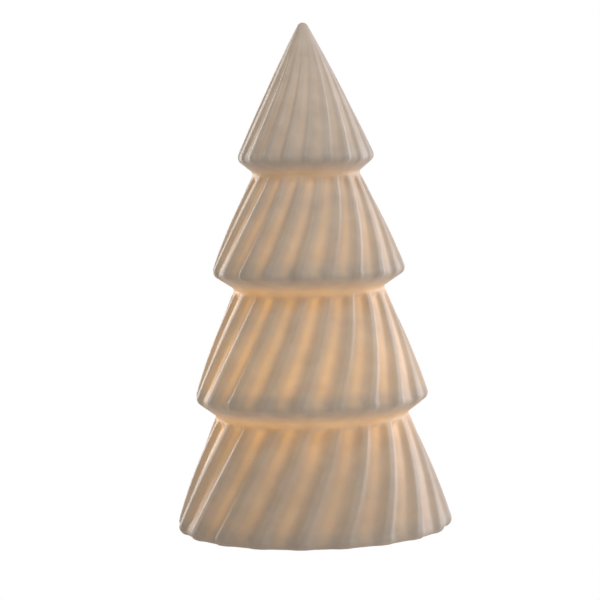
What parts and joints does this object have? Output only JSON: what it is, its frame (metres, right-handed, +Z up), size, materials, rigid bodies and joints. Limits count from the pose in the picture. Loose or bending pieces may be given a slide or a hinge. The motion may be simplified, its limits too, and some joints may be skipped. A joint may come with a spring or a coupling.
{
  "type": "ceramic christmas tree",
  "caption": "Tiered porcelain christmas tree with twisted ribs, lit from inside by a warm lamp in a plug-in battery light unit under its foot.",
  "frame": {"origin": "on the ground under the tip, in the middle of the foot", "axes": "+Z up along the tree, -Y towards the viewer of the picture, +X to that viewer's right"},
  "size_m": [0.1248, 0.1248, 0.23],
  "materials": {
    "porcelain": "matte unglazed white porcelain, warm in tone",
    "felt": "pressed felt",
    "silicone": "soft translucent silicone",
    "white_plastic": "fine grained white plastic",
    "frosted_plastic": "frosted translucent plastic",
    "steel": "zinc plated steel",
    "nickel": "nickel plated spring steel",
    "board_green": "green lacquered board",
    "lamp": "warm white lamp with yellow phosphor",
    "black_plastic": "black moulded plastic",
    "cell_jacket": "plain dark jacket",
    "red_wire": "smooth red insulation",
    "black_wire": "smooth black insulation",
    "foam": "dark foam strip"
  },
  "bodies": {
    "tree": {"ceramic_tree": "porcelain", "foot_pads": "felt"},
    "light_unit": {"sealing_ring": "silicone", "unit_housing": "white_plastic", "unit_cover": "white_plastic", "cover_screws": "steel", "diffuser_dome": "frosted_plastic", "circuit_board": "board_green", "board_screws": "steel", "led": "lamp", "resistor": "black_plastic", "timer_chip": "black_plastic", "switch_body": "steel", "battery_1": "cell_jacket", "battery_2": "cell_jacket", "battery_3": "cell_jacket", "contact_positive": "nickel", "contact_negative": "nickel", "contact_link_right": "nickel", "contact_link_left": "nickel", "wire_positive": "red_wire", "wire_negative": "black_wire", "wire_switch_left": "red_wire", "wire_switch_right": "red_wire"},
    "slider": {"switch_slider": "black_plastic"},
    "door": {"battery_door": "white_plastic", "battery_foam": "foam"},
    "left_screw": {"door_screw_left": "steel"},
    "right_screw": {"door_screw_right": "steel"}
  },
  "joints": [
    {"name": "light_unit_pull", "type": "slide", "parent": "tree", "child": "light_unit", "axis": [0, 0, -1], "range_m": [0, 0.06]},
    {"name": "switch_slide", "type": "slide", "parent": "light_unit", "child": "slider", "axis": [1, 0, 0], "range_m": [-0.0015, 0.0015]},
    {"name": "battery_door_lift", "type": "slide", "parent": "light_unit", "child": "door", "axis": [0, 0, -1], "range_m": [0, 0.02]},
    {"name": "left_screw_turn", "type": "hinge", "parent": "door", "child": "left_screw", "pos_m": [-0.0276, 0, 0.005], "axis": [0, 0, 1], "continuous": true},
    {"name": "right_screw_turn", "type": "hinge", "parent": "door", "child": "right_screw", "pos_m": [0.0276, 0, 0.005], "axis": [0, 0, 1], "continuous": true}
  ]
}
